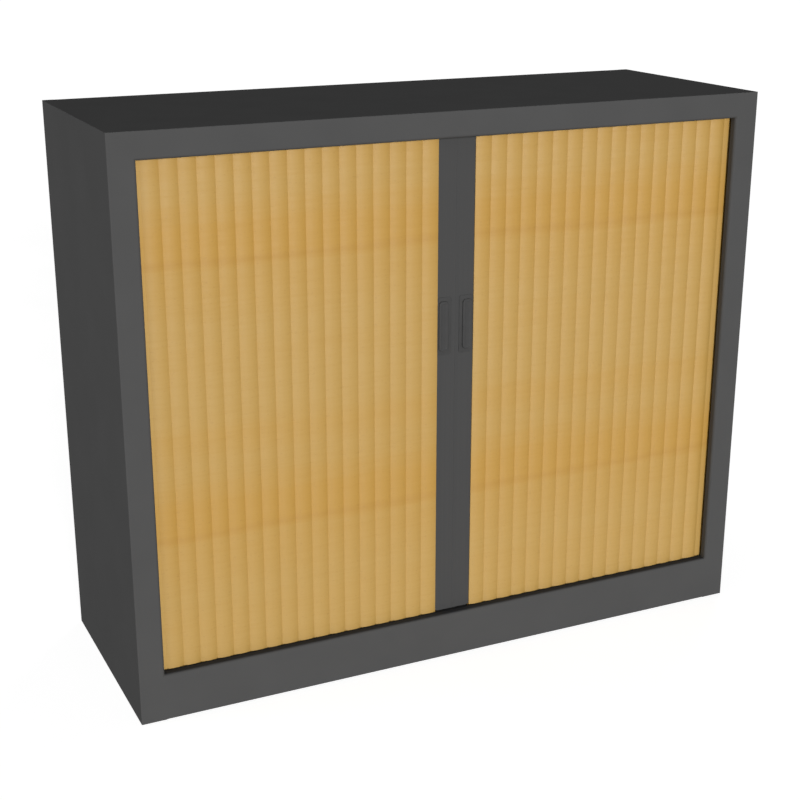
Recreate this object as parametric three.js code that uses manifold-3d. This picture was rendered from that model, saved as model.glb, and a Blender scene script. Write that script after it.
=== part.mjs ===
// Tambour door cupboard in folded sheet steel. Two curtains of interlocking slats run in tracks
// round the corners of the carcass, and are stored along its sides and behind its inner back.
// Millimetres. X runs to the right, Y to the back, Z up. The origin is the middle of the
// footprint, on the floor. The right half (side = 1) is drawn, and the left half (side = -1)
// is its mirror image.

import * as THREE from 'three';
import { mergeVertices } from 'three/addons/utils/BufferGeometryUtils.js';
import Module from 'manifold-3d';

const wasm = await Module();
wasm.setup();

// Overall size
const WIDTH = 1200;
const DEPTH = 430;
const HEIGHT = 1000;

// Clearances
const GAP = 0.3;              // between two pieces that seat on each other
const TRACK_PLAY = 0.4;       // between a slat and the walls of its track
const JOINT_PLAY = 0.4;       // between a slat's bead and the socket round it
const CLOSING_GAP = 0.1;      // between the two lead bars when the curtains are closed
const STOP_GAP = 2.5;         // between an open curtain's handle and the post
const OVERRUN = 5;            // how far a cut runs past the material

// Folded sheet
const SHEET = 1;
const BEND_RADIUS = 0.5;      // inside radius of a fold
const OPENING_BEND = 4.5;     // inside radius of the folds round the front opening

// Front frame
const POST_WIDTH = 45;
const RAIL_HEIGHT = 45;
const PLINTH_HEIGHT = 85;
const POST_LIP = 10;
const CURTAIN_RECESS = 18;    // from the front face back to the crown of the slats

// Flanges of the carcass panels
const REAR_FLANGE = 20;
const FOOT_FLANGE = 25;       // along the lower edge of a side panel
const FOOT_FLANGE_SETBACK = 20;
const PLINTH_RETURN = 20;
const TOP_REAR_FLANGE = 20;
const TOP_SIDE_FLANGE = 16;
const CEILING_FLANGE = 11;
const BASE_SIDE_FLANGE = 25;
const LINER_FLANGE = 16;
const LINER_SETBACK = 8;       // from the inner back to the rear tracks

// Stiffening ribs pressed into the back panel
const RIB_HEIGHT = 1.2;
const RIB_WIDTH = 30;
const RIB_SLOPE = 6;
const RIB_SPACING = 400;

// Slat section
const SLAT_PITCH = 30;
const SLAT_CROWN = 3;         // rise of the front face over its width
const SLAT_WALL = 1.4;
const SLAT_LINE = 0.8;        // open line between the faces of two slats
const BEAD_RADIUS = 1.3;
const SOCKET_WALL = 1;
const NECK_WIDTH = 1;
const NECK_ANGLE = THREE.MathUtils.degToRad(45);
const WEB_REACH = 4.5;        // from the joint to where the socket's web meets the face
const WEB_ANGLE = THREE.MathUtils.degToRad(150);

// Tracks
const TRACK_HEIGHT = 12;
const TRACK_FLOOR = 2;
const TRACK_WALL = 2;
const CORNER_RADIUS = 38;     // of the line on which the slats' joints run
const TRACK_END = 10;         // closed stretch past the end of an open curtain
const TOP_PLAY = 1;           // over the slats in the upper track

// Lead bar
const BAR_WIDTH = 35;
const BAR_WALL = 1.8;
const BAR_DEPTH = 12;
const BAR_RETURN = 7;
const BAR_FLANGE_INSET = 3.2; // from the joint back to the outer flange
const TONGUE_THICKNESS = 4;
const BAR_END_GAP = 0.5;      // between the full section and the tracks

// Handle
const HANDLE_CENTRE_HEIGHT = 628;
const HANDLE_EDGE = 0.5;      // from the lead bar's outer edge to the handle
const PLATE_WIDTH = 27;
const PLATE_HEIGHT = 104;
const PLATE_THICKNESS = 0.8;
const PLATE_CORNER = 5;
const GRIP_WIDTH = 19;
const GRIP_HEIGHT = 90;
const GRIP_INSET = 2;         // from the plate's outer edge to the grip
const GRIP_RISE = 3;
const GRIP_CORNER = 7;
const GRIP_BEVEL = 0.8;
const GRIP_SCOOP_RADIUS = 12; // of the hollow along the grip that the fingers pull on
const GRIP_SCOOP_DEPTH = 0.8;
const GRIP_SCOOP_LENGTH = 66;

// Inner side panels and shelves
const PARTITION_OFFSET = 5;   // from the post's inner face outwards
const SLOT_WIDTH = 6;
const SLOT_HEIGHT = 16;
const SLOT_PITCH = 50;
const SLOT_FIRST_HEIGHT = 57; // from the cupboard's floor to the lowest slot
const SLOT_COLUMN_INSET = 62; // from the edges of the inner side panel
const SHELF_THICKNESS = 25;
const SHELF_RETURN = 9;
const SHELF_END_GAP = 1.3;    // to the inner back's flanges
const SHELF_SETBACK = 6;
const SHELF_SLOTS = [5, 11];  // the slot that each shelf hangs in, counted from 0
const HOOK_THICKNESS = 3;
const HOOK_ARM = 9;
const HOOK_DROP = 5;
const HOOK_LIP = 1.5;
const HOOK_BELOW_TOP = 4;

// Levelling feet
const FOOT_INSET_X = 70;      // from the side of the cupboard to the foot's axis
const FOOT_INSET_Y = 45;
const STUD_RADIUS = 4.7;
const NUT_WALL = 3;
const NUT_LENGTH = 24;
const GLIDE_RADIUS = 15;
const GLIDE_HEIGHT = 8;
const GLIDE_LIFT = 1;         // from the floor to a foot that is screwed right up
const GLIDE_CHAMFER = 1.5;

// Facets along curves
const BEND_STEPS = 3;
const OPENING_BEND_STEPS = 8;
const FACE_STEPS = 8;
const SOCKET_STEPS = 7;
const SOCKET_BACK_STEPS = 4;
const SOCKET_TOP_STEPS = 2;
const UNDERSIDE_STEPS = 4;
const BEAD_STEPS = 7;
const CORNER_STEPS = 6;
const HANDLE_STEPS = 4;
const SCOOP_STEPS = 5;
const ROUND_STEPS = 14;
const HALVINGS = 50;          // of the stretch in which the next joint is looked for

// Where the pieces lie, worked out from the sizes above
const HALF_WIDTH = WIDTH / 2;
const FRONT = -DEPTH / 2;
const BACK = DEPTH / 2;
const OPENING = HALF_WIDTH - POST_WIDTH;
const OPENING_TOP = HEIGHT - RAIL_HEIGHT;
const HALF_SHEET = SHEET / 2;
const FOLD = BEND_RADIUS + SHEET;
const OPENING_FOLD = OPENING_BEND + SHEET;
const SEAT = SHEET + GAP;     // from one sheet's middle to that of a sheet that lies on it

const SOCKET_BORE = BEAD_RADIUS + JOINT_PLAY;
const SOCKET_RADIUS = SOCKET_BORE + SOCKET_WALL;
const FACE_HALF = (SLAT_PITCH - SLAT_LINE) / 2;
const FACE_RADIUS = (FACE_HALF ** 2 + SLAT_CROWN ** 2) / (2 * SLAT_CROWN);
const UNDERSIDE_RADIUS = FACE_RADIUS - SLAT_WALL;
const EDGE_THICKNESS = heightOnArc(FACE_RADIUS, FACE_HALF) - heightOnArc(UNDERSIDE_RADIUS, FACE_HALF);
const VALLEY = SOCKET_RADIUS + GAP + EDGE_THICKNESS;
const CROWN = VALLEY + SLAT_CROWN;
const FACE_CENTRE = CROWN - FACE_RADIUS;
const BEND_PER_JOINT = 2 * Math.asin(SLAT_PITCH / 2 / CORNER_RADIUS);

const GROOVE_FRONT = CROWN + TRACK_PLAY;
const GROOVE_REAR = SOCKET_RADIUS + TRACK_PLAY;
const TRACK_FRONT = GROOVE_FRONT + TRACK_WALL;
const TRACK_REAR = GROOVE_REAR + TRACK_WALL;
const SIDE_SKIN = HALF_WIDTH - HALF_SHEET;
const REAR_SKIN = BACK - HALF_SHEET;
const BACK_PANEL = REAR_SKIN - SEAT;
const BASE_REAR = BACK_PANEL - SEAT;
const RUN_FRONT = FRONT + CURTAIN_RECESS + CROWN;
const RUN_SIDE = HALF_WIDTH - SHEET - GAP - TRACK_FRONT;
const RUN_REAR = BACK_PANEL - HALF_SHEET - GAP - TRACK_FRONT;
const CORNER_X = RUN_SIDE - CORNER_RADIUS;
const CORNER_FRONT = RUN_FRONT + CORNER_RADIUS;
const CORNER_REAR = RUN_REAR - CORNER_RADIUS;
const LIP = RUN_FRONT - TRACK_FRONT - GAP - HALF_SHEET;

const LOWER_TRACK = PLINTH_HEIGHT - TRACK_HEIGHT;
const UPPER_TRACK_TOP = OPENING_TOP + TRACK_HEIGHT;
const FLOOR = LOWER_TRACK - GAP - HALF_SHEET;
const CEILING = UPPER_TRACK_TOP + GAP + HALF_SHEET;
const CEILING_EDGE = CEILING + CEILING_FLANGE - HALF_SHEET;
const SLAT_BOTTOM = LOWER_TRACK + TRACK_FLOOR + GAP;
const SLAT_TOP = UPPER_TRACK_TOP - TRACK_FLOOR - TOP_PLAY;
const TRAVEL = OPENING - BAR_WIDTH + HANDLE_EDGE - STOP_GAP;

const PARTITION = OPENING + PARTITION_OFFSET;
const PARTITION_REACH = CORNER_RADIUS - TRACK_REAR - GAP;
const PARTITION_FRONT = CORNER_FRONT - heightOnArc(PARTITION_REACH, PARTITION + HALF_SHEET - CORNER_X);
const PARTITION_BOTTOM = FLOOR + HALF_SHEET + GAP;
const PARTITION_TOP = CEILING - HALF_SHEET - GAP;
const LINER = RUN_REAR - TRACK_REAR - LINER_SETBACK - HALF_SHEET;
const PARTITION_REAR = LINER + HALF_SHEET;
const SHELF_HALF = PARTITION - SEAT - HALF_SHEET - SHELF_END_GAP;
const SLOT_COLUMNS = [PARTITION_FRONT + SLOT_COLUMN_INSET, PARTITION_REAR - SLOT_COLUMN_INSET];

// Finishes
const COATED_STEEL = { color: 0x545454, roughness: 0.55, metalness: 0.1 };
const SLAT_PLASTIC = { color: 0xc59e5f, roughness: 0.5, metalness: 0 };
const TRACK_PLASTIC = { color: 0x2c2c2e, roughness: 0.6, metalness: 0 };
const HANDLE_PLASTIC = { color: 0x4a4a4a, roughness: 0.6, metalness: 0 };
const ZINC_STEEL = { color: 0x8d9092, roughness: 0.4, metalness: 0.7 };

// The height of a circle about the origin at the given distance from its middle
function heightOnArc(radius, across) {
  return Math.sqrt(radius ** 2 - across ** 2);
}

// Points on an arc from one angle to another, both ends included
function arc(x, y, radius, from, to, steps) {
  const points = [];
  for (let i = 0; i <= steps; i++) {
    const angle = from + ((to - from) * i) / steps;
    points.push([x + radius * Math.cos(angle), y + radius * Math.sin(angle)]);
  }
  return points;
}

function shapeOf(points) {
  return new THREE.Shape(points.map(([x, y]) => new THREE.Vector2(x, y)));
}

// The outline of a sheet that is folded along the given line through its middle. A fold at
// the edge of the opening is marked by its wider inside radius.
function foldedSheet(...line) {
  const corners = line.map(([x, y]) => new THREE.Vector2(x, y));
  const pivot = new THREE.Vector2();
  const one = [];
  const other = [];
  const add = (point, normal) => {
    one.push(point.clone().addScaledVector(normal, HALF_SHEET));
    other.unshift(point.clone().addScaledVector(normal, -HALF_SHEET));
  };
  const direction = (i) => corners[i + 1].clone().sub(corners[i]).normalize();
  const normalOf = (d) => new THREE.Vector2(-d.y, d.x);
  const last = corners.length - 1;
  add(corners[0], normalOf(direction(0)));
  for (let i = 1; i < last; i++) {
    const [, , bend = BEND_RADIUS] = line[i];
    const steps = bend === BEND_RADIUS ? BEND_STEPS : OPENING_BEND_STEPS;
    const radius = bend + HALF_SHEET;
    const before = direction(i - 1);
    const turn = Math.atan2(before.cross(direction(i)), before.dot(direction(i)));
    const normal = normalOf(before);
    const inward = normal.clone().multiplyScalar(Math.sign(turn) * radius);
    const start = corners[i].clone().addScaledVector(before, -radius * Math.tan(Math.abs(turn) / 2));
    const centre = start.clone().add(inward);
    for (let j = 0; j <= steps; j++) {
      const angle = (turn * j) / steps;
      const spoke = inward.clone().rotateAround(pivot, angle);
      add(centre.clone().sub(spoke), normal.clone().rotateAround(pivot, angle));
    }
  }
  add(corners[last], normalOf(direction(last - 1)));
  return new THREE.Shape([...one, ...other]);
}

// A shape in the X-Y plane, drawn out along Z
function alongZ(shape, from, to) {
  const geometry = new THREE.ExtrudeGeometry(shape, { depth: to - from, bevelEnabled: false });
  return geometry.translate(0, 0, from);
}

// A shape in the Y-Z plane, drawn out along X
function alongX(shape, from, to) {
  const turn = new THREE.Matrix4().set(0, 0, 1, 0, 1, 0, 0, 0, 0, 1, 0, 0, 0, 0, 0, 1);
  return alongZ(shape, from, to).applyMatrix4(turn);
}

// A shape in the X-Z plane, drawn out along Y
function alongY(shape, from, to) {
  const turn = new THREE.Matrix4().set(1, 0, 0, 0, 0, 0, -1, 0, 0, 1, 0, 0, 0, 0, 0, 1);
  return alongZ(shape, -to, -from).applyMatrix4(turn);
}

function box(x, y, z) {
  const geometry = new THREE.BoxGeometry(x[1] - x[0], y[1] - y[0], z[1] - z[0]);
  return geometry.translate((x[0] + x[1]) / 2, (y[0] + y[1]) / 2, (z[0] + z[1]) / 2);
}

function upright(radius, x, y, from, to) {
  const geometry = new THREE.CylinderGeometry(radius, radius, to - from, ROUND_STEPS);
  return geometry.rotateX(Math.PI / 2).translate(x, y, (from + to) / 2);
}

function solid(geometry) {
  const bare = geometry.clone();
  bare.deleteAttribute('normal');
  bare.deleteAttribute('uv');
  const merged = mergeVertices(bare);
  return new wasm.Manifold(new wasm.Mesh({
    numProp: 3,
    vertProperties: merged.attributes.position.array,
    triVerts: new Uint32Array(merged.index.array),
  }));
}

function geometryOf(manifold) {
  const mesh = manifold.getMesh();
  const geometry = new THREE.BufferGeometry();
  geometry.setAttribute('position', new THREE.BufferAttribute(mesh.vertProperties, 3));
  geometry.setIndex(new THREE.BufferAttribute(mesh.triVerts, 1));
  const flat = geometry.toNonIndexed();
  flat.computeVertexNormals();
  return flat;
}

function join(...geometries) {
  return geometryOf(geometries.map(solid).reduce((whole, piece) => whole.add(piece)));
}

function cut(geometry, ...tools) {
  return geometryOf(tools.map(solid).reduce((whole, tool) => whole.subtract(tool), solid(geometry)));
}

const cupboard = new THREE.Group();

function addPiece(name, geometry, finish) {
  const mesh = new THREE.Mesh(geometry, new THREE.MeshStandardMaterial(finish));
  mesh.name = name;
  cupboard.add(mesh);
  return mesh;
}

// The line on which the slats' joints run, seen from above: front, corner, side, corner, rear.
// At a distance along it from the middle it has a place, and a direction square to it outwards.
const QUARTER = (CORNER_RADIUS * Math.PI) / 2;
const SIDE_START = CORNER_X + QUARTER;
const SIDE_END = SIDE_START + CORNER_REAR - CORNER_FRONT;
const REAR_START = SIDE_END + QUARTER;

function onRun(distance) {
  const turned = (start) => THREE.MathUtils.clamp(distance - start, 0, QUARTER) / CORNER_RADIUS;
  const angle = turned(CORNER_X) + turned(SIDE_END);
  const outward = new THREE.Vector2(Math.sin(angle), -Math.cos(angle));
  const middle = new THREE.Vector2(
    CORNER_X + Math.min(distance - CORNER_X, 0) - Math.max(distance - REAR_START, 0),
    THREE.MathUtils.clamp(CORNER_FRONT + distance - SIDE_START, CORNER_FRONT, CORNER_REAR));
  return { place: middle.addScaledVector(outward, CORNER_RADIUS), outward };
}

// Slats are stiff, so each joint lies one pitch in a straight line from the one before it
function nextJoint(distance) {
  const from = onRun(distance).place;
  let near = distance;
  let far = distance + 2 * SLAT_PITCH;
  for (let i = 0; i < HALVINGS; i++) {
    const middle = (near + far) / 2;
    if (onRun(middle).place.distanceTo(from) < SLAT_PITCH) near = middle;
    else far = middle;
  }
  return far;
}

const SLAT_COUNT = Math.ceil((OPENING - BAR_WIDTH) / SLAT_PITCH);

function jointsFrom(distance) {
  const joints = [distance];
  for (let i = 0; i < SLAT_COUNT; i++) joints.push(nextJoint(joints[i]));
  return joints;
}

const RUN_END = jointsFrom(BAR_WIDTH + TRAVEL)[SLAT_COUNT] + TRACK_END;

// The socket on a slat's or lead bar's outer edge, from its top round the bore and back along
// its outside. The mouth lets the next slat's neck swing from straight to the corner's bend.
function socketOutline(joint, startAngle, endAngle) {
  const neckSpread = Math.asin(NECK_WIDTH / 2 / SOCKET_BORE) + JOINT_PLAY / SOCKET_BORE;
  const mouthTop = NECK_ANGLE + neckSpread;
  const mouthBottom = NECK_ANGLE - BEND_PER_JOINT - neckSpread + 2 * Math.PI;
  return [
    ...arc(joint, 0, SOCKET_RADIUS, startAngle, mouthTop, SOCKET_TOP_STEPS),
    ...arc(joint, 0, SOCKET_BORE, mouthTop, mouthBottom, SOCKET_STEPS),
    ...arc(joint, 0, SOCKET_RADIUS, mouthBottom, endAngle, SOCKET_BACK_STEPS),
  ];
}

// Where a line from the bead, set off to one side of the neck's middle, meets the face's underside
function neckRoot(offset) {
  const start = new THREE.Vector2(Math.sin(NECK_ANGLE), -Math.cos(NECK_ANGLE)).multiplyScalar(offset);
  const along = new THREE.Vector2(Math.cos(NECK_ANGLE), Math.sin(NECK_ANGLE));
  const toStart = start.clone().sub(new THREE.Vector2(SLAT_PITCH / 2, FACE_CENTRE));
  const half = toStart.dot(along);
  const reach = -half - Math.sqrt(half ** 2 - toStart.lengthSq() + UNDERSIDE_RADIUS ** 2);
  const other = -half + Math.sqrt(half ** 2 - toStart.lengthSq() + UNDERSIDE_RADIUS ** 2);
  const distance = reach > 0 ? reach : other;
  return [start.x + along.x * distance, start.y + along.y * distance];
}

// A slat's section. Its bead is at 0, its socket one pitch further on, and its face stands
// out above the line through both.
function slatOutline() {
  const middle = SLAT_PITCH / 2;
  const faceEnd = Math.asin(FACE_HALF / FACE_RADIUS);
  const angleAt = (across) => Math.PI / 2 - Math.asin((across - middle) / UNDERSIDE_RADIUS);
  const socketTop = Math.acos(-SLAT_LINE / 2 / SOCKET_RADIUS);
  const lowerRoot = neckRoot(NECK_WIDTH / 2);
  const upperRoot = neckRoot(-NECK_WIDTH / 2);
  const neckHalf = Math.asin(NECK_WIDTH / 2 / BEAD_RADIUS);
  return [
    ...arc(middle, FACE_CENTRE, FACE_RADIUS, Math.PI / 2 + faceEnd, Math.PI / 2 - faceEnd, FACE_STEPS),
    ...socketOutline(SLAT_PITCH, socketTop, WEB_ANGLE),
    ...arc(middle, FACE_CENTRE, UNDERSIDE_RADIUS,
      angleAt(SLAT_PITCH - WEB_REACH), angleAt(lowerRoot[0]), UNDERSIDE_STEPS),
    ...arc(0, 0, BEAD_RADIUS, NECK_ANGLE - neckHalf, NECK_ANGLE + neckHalf - 2 * Math.PI, BEAD_STEPS),
    upperRoot,
    [SLAT_LINE / 2, VALLEY - EDGE_THICKNESS],
  ];
}

// A section drawn outwards from the middle of the cupboard and forwards, seen from above
function inPlan(points, side) {
  return shapeOf(points.map(([out, forward]) => [side * out, -forward]));
}

function addCurtainSlats(side, label) {
  const shape = inPlan(slatOutline(), side);
  const joints = jointsFrom(BAR_WIDTH).map((distance) => onRun(distance).place);
  for (let i = 0; i < SLAT_COUNT; i++) {
    const name = `${label}_slat_${String(i + 1).padStart(2, '0')}`;
    const slat = addPiece(name, alongZ(shape, SLAT_BOTTOM, SLAT_TOP), SLAT_PLASTIC);
    const step = joints[i + 1].clone().sub(joints[i]);
    slat.position.set(side * joints[i].x, joints[i].y, 0);
    slat.rotation.z = side * Math.atan2(step.y, step.x);
  }
}

// The lead bar is a channel that is open at the back, with the socket for the first slat along
// its outer edge, and a thinner tongue at each end that runs in the tracks
function addLeadBar(side, label) {
  const face = SOCKET_RADIUS;
  const back = face - BAR_DEPTH;
  const inner = CLOSING_GAP / 2;
  const flange = BAR_WIDTH - BAR_FLANGE_INSET;
  const section = [
    [inner, face],
    ...socketOutline(BAR_WIDTH, Math.PI / 2, Math.PI),
    [flange, -BAR_WALL / 2],
    [flange, back],
    [flange - BAR_RETURN, back],
    [flange - BAR_RETURN, back + BAR_WALL],
    [flange - BAR_WALL, back + BAR_WALL],
    [flange - BAR_WALL, face - BAR_WALL],
    [inner + BAR_WALL, face - BAR_WALL],
    [inner + BAR_WALL, back + BAR_WALL],
    [inner + BAR_RETURN, back + BAR_WALL],
    [inner + BAR_RETURN, back],
    [inner, back],
  ];
  const tongue = [
    [inner, face],
    [flange, face],
    [flange, face - TONGUE_THICKNESS],
    [inner, face - TONGUE_THICKNESS],
  ];
  const bar = alongZ(inPlan(section, side), PLINTH_HEIGHT + BAR_END_GAP, OPENING_TOP - BAR_END_GAP);
  const lower = alongZ(inPlan(tongue, side), SLAT_BOTTOM, PLINTH_HEIGHT + BAR_WIDTH);
  const upper = alongZ(inPlan(tongue, side), OPENING_TOP - BAR_WIDTH, SLAT_TOP);
  const mesh = addPiece(`${label}_lead_bar`, join(bar, lower, upper), COATED_STEEL);
  mesh.position.y = RUN_FRONT;
}

function roundedOutline(width, height, radius) {
  const x = width / 2 - radius;
  const y = height / 2 - radius;
  const quarter = Math.PI / 2;
  return [
    ...arc(x, -y, radius, -quarter, 0, HANDLE_STEPS),
    ...arc(x, y, radius, 0, quarter, HANDLE_STEPS),
    ...arc(-x, y, radius, quarter, 2 * quarter, HANDLE_STEPS),
    ...arc(-x, -y, radius, 2 * quarter, 3 * quarter, HANDLE_STEPS),
  ];
}

// A flat plate with an upright grip on it. The grip has rounded ends and bevelled edges, and a
// shallow hollow along its face.
function addHandle(side, label) {
  const seat = RUN_FRONT - SOCKET_RADIUS - GAP;
  const outer = BAR_WIDTH - HANDLE_EDGE;
  const plateX = side * (outer - PLATE_WIDTH / 2);
  const gripX = side * (outer - GRIP_INSET - GRIP_WIDTH / 2);
  const plate = alongY(shapeOf(roundedOutline(PLATE_WIDTH, PLATE_HEIGHT, PLATE_CORNER)),
    seat - PLATE_THICKNESS, seat);
  const gripShape = shapeOf(roundedOutline(
    GRIP_WIDTH - 2 * GRIP_BEVEL, GRIP_HEIGHT - 2 * GRIP_BEVEL, GRIP_CORNER - GRIP_BEVEL));
  const grip = new THREE.ExtrudeGeometry(gripShape, {
    depth: PLATE_THICKNESS + GRIP_RISE - 2 * GRIP_BEVEL,
    bevelThickness: GRIP_BEVEL, bevelSize: GRIP_BEVEL, bevelSegments: 2,
  });
  const gripFace = seat - PLATE_THICKNESS - GRIP_RISE;
  grip.rotateX(Math.PI / 2).translate(0, gripFace + PLATE_THICKNESS + GRIP_RISE - GRIP_BEVEL, 0);
  const scoopAxis = gripFace + GRIP_SCOOP_DEPTH - GRIP_SCOOP_RADIUS;
  const scoopHalf = Math.acos(1 - (GRIP_SCOOP_DEPTH + GRIP_BEVEL) / GRIP_SCOOP_RADIUS);
  const quarter = Math.PI / 2;
  const scoop = alongZ(
    shapeOf(arc(0, scoopAxis, GRIP_SCOOP_RADIUS, quarter - scoopHalf, quarter + scoopHalf, SCOOP_STEPS)),
    -GRIP_SCOOP_LENGTH / 2, GRIP_SCOOP_LENGTH / 2);
  const body = join(
    plate.translate(plateX, 0, HANDLE_CENTRE_HEIGHT), grip.translate(gripX, 0, HANDLE_CENTRE_HEIGHT));
  const hollowed = cut(body, scoop.translate(gripX, 0, HANDLE_CENTRE_HEIGHT));
  addPiece(`${label}_handle`, hollowed, HANDLE_PLASTIC);
}

// A strip along the run, between a distance in front of it and one behind it, seen from above
function runStrip(side, front, rear, start, end) {
  const distances = [start];
  for (const cornerStart of [CORNER_X, SIDE_END]) {
    for (let i = 0; i <= CORNER_STEPS; i++) distances.push(cornerStart + (QUARTER * i) / CORNER_STEPS);
  }
  const stations = [...distances.filter((distance) => distance < end), end].map(onRun);
  const edge = (offset) => stations.map(
    ({ place, outward }) => place.clone().addScaledVector(outward, offset));
  return shapeOf([...edge(front), ...edge(-rear).reverse()].map(({ x, y }) => [side * x, y]));
}

// A track is a strip with a groove, from the middle of the front round the corners. The lower
// one opens upwards, the upper one downwards.
function addTrack(side, label, bottom, grooveBottom, grooveTop) {
  const strip = runStrip(side, TRACK_FRONT, TRACK_REAR, GAP, RUN_END + TRACK_WALL);
  const groove = runStrip(side, GROOVE_FRONT, GROOVE_REAR, GAP - OVERRUN, RUN_END);
  const geometry = cut(
    alongZ(strip, bottom, bottom + TRACK_HEIGHT), alongZ(groove, grooveBottom, grooveTop));
  addPiece(`${label}_track`, geometry, TRACK_PLASTIC);
}

// A side panel is one sheet, seen from above: the lip and return of the reveal, the front
// post, the outer side and the rear flange. Its fold at the opening meets the folds of the
// plinth and the front rail in two welded corners.
function addSidePanel(side, label) {
  const line = (...points) => foldedSheet(...points.map(([x, ...rest]) => [side * x, ...rest]));
  const front = FRONT + HALF_SHEET;
  const reveal = OPENING + HALF_SHEET;
  const rear = [[SIDE_SKIN, REAR_SKIN], [HALF_WIDTH - REAR_FLANGE, REAR_SKIN]];
  const post = line([OPENING, front], [SIDE_SKIN, front], ...rear);
  const postWithReveal = line(
    [reveal + POST_LIP, LIP], [reveal, LIP], [reveal, front, OPENING_BEND], [SIDE_SKIN, front],
    ...rear);
  const footFlange = line(
    [SIDE_SKIN, FOOT_FLANGE], [SIDE_SKIN, HALF_SHEET], [HALF_WIDTH - FOOT_FLANGE, HALF_SHEET]);
  const quarter = Math.PI / 2;
  const across = [side * OPENING, side * (OPENING + OPENING_FOLD)].sort((a, b) => a - b);
  const corner = (z, from) => alongX(shapeOf([
    [FRONT + OPENING_FOLD, z],
    ...arc(FRONT + OPENING_FOLD, z, OPENING_FOLD, from, from + quarter, OPENING_BEND_STEPS),
  ]), ...across);
  const bottom = PLINTH_HEIGHT - OPENING_FOLD;
  const top = OPENING_TOP + OPENING_FOLD;
  const panel = join(
    alongZ(post, 0, bottom),
    alongZ(postWithReveal, bottom, top),
    alongZ(post, top, HEIGHT - SHEET),
    corner(bottom, quarter),
    corner(top, 2 * quarter),
    alongY(footFlange, FRONT + FOOT_FLANGE_SETBACK, BACK - FOOT_FLANGE_SETBACK));
  addPiece(`${label}_side_panel`, panel, COATED_STEEL);
}

// The top sheet follows the folds of the posts at its front corners, and gives way to its own
// folds, down into the front rail and into the rear flange
function addTopPanel() {
  const middle = HEIGHT - HALF_SHEET;
  const rearEnd = HALF_WIDTH - REAR_FLANGE;
  const quarter = Math.PI / 2;
  const corner = (x, y, from) => arc(x, y, FOLD, from, from + quarter, BEND_STEPS);
  const sheet = shapeOf([
    [OPENING, FRONT],
    ...corner(HALF_WIDTH - FOLD, FRONT + FOLD, -quarter),
    ...corner(HALF_WIDTH - FOLD, BACK - FOLD, 0),
    [rearEnd, BACK],
    [rearEnd, BACK - FOLD],
    [-rearEnd, BACK - FOLD],
    [-rearEnd, BACK],
    ...corner(-HALF_WIDTH + FOLD, BACK - FOLD, quarter),
    ...corner(-HALF_WIDTH + FOLD, FRONT + FOLD, 2 * quarter),
    [-OPENING, FRONT],
    [-OPENING, FRONT + FOLD],
    [OPENING, FRONT + FOLD],
  ]);
  const frontRail = foldedSheet(
    [0, middle], [FRONT + HALF_SHEET, middle],
    [FRONT + HALF_SHEET, OPENING_TOP + HALF_SHEET, OPENING_BEND],
    [LIP, OPENING_TOP + HALF_SHEET], [LIP, CEILING_EDGE]);
  const rearFlange = foldedSheet([0, middle], [REAR_SKIN, middle], [REAR_SKIN, HEIGHT - TOP_REAR_FLANGE]);
  const flangeX = SIDE_SKIN - SEAT;
  const sideFlanges = foldedSheet(
    [-flangeX, HEIGHT - TOP_SIDE_FLANGE], [-flangeX, middle], [flangeX, middle],
    [flangeX, HEIGHT - TOP_SIDE_FLANGE]);
  const panel = join(
    alongZ(sheet, HEIGHT - SHEET, HEIGHT),
    alongX(frontRail, -OPENING, OPENING),
    alongX(rearFlange, -rearEnd, rearEnd),
    alongY(sideFlanges, LIP, BASE_REAR - SHEET));
  addPiece('top_panel', panel, COATED_STEEL);
}

// The ceiling carries the upper tracks. Its edges are folded up all round.
function addCeilingPanel() {
  const front = LIP + SEAT;
  const flangeX = SIDE_SKIN - SEAT;
  const lengthwise = foldedSheet(
    [front, CEILING_EDGE], [front, CEILING], [BASE_REAR, CEILING], [BASE_REAR, CEILING_EDGE]);
  const crosswise = foldedSheet(
    [-flangeX, CEILING_EDGE], [-flangeX, CEILING], [flangeX, CEILING], [flangeX, CEILING_EDGE]);
  const panel = join(
    alongX(lengthwise, -flangeX, flangeX),
    alongY(crosswise, front, BASE_REAR));
  addPiece('ceiling_panel', panel, COATED_STEEL);
}

const FEET = [];
for (const [along, y] of [['front', FRONT + FOOT_INSET_Y], ['rear', BACK - FOOT_INSET_Y]]) {
  for (const [across, side] of [['left', -1], ['right', 1]]) {
    FEET.push({ name: `${along}_${across}_foot`, x: side * (HALF_WIDTH - FOOT_INSET_X), y });
  }
}

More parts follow.
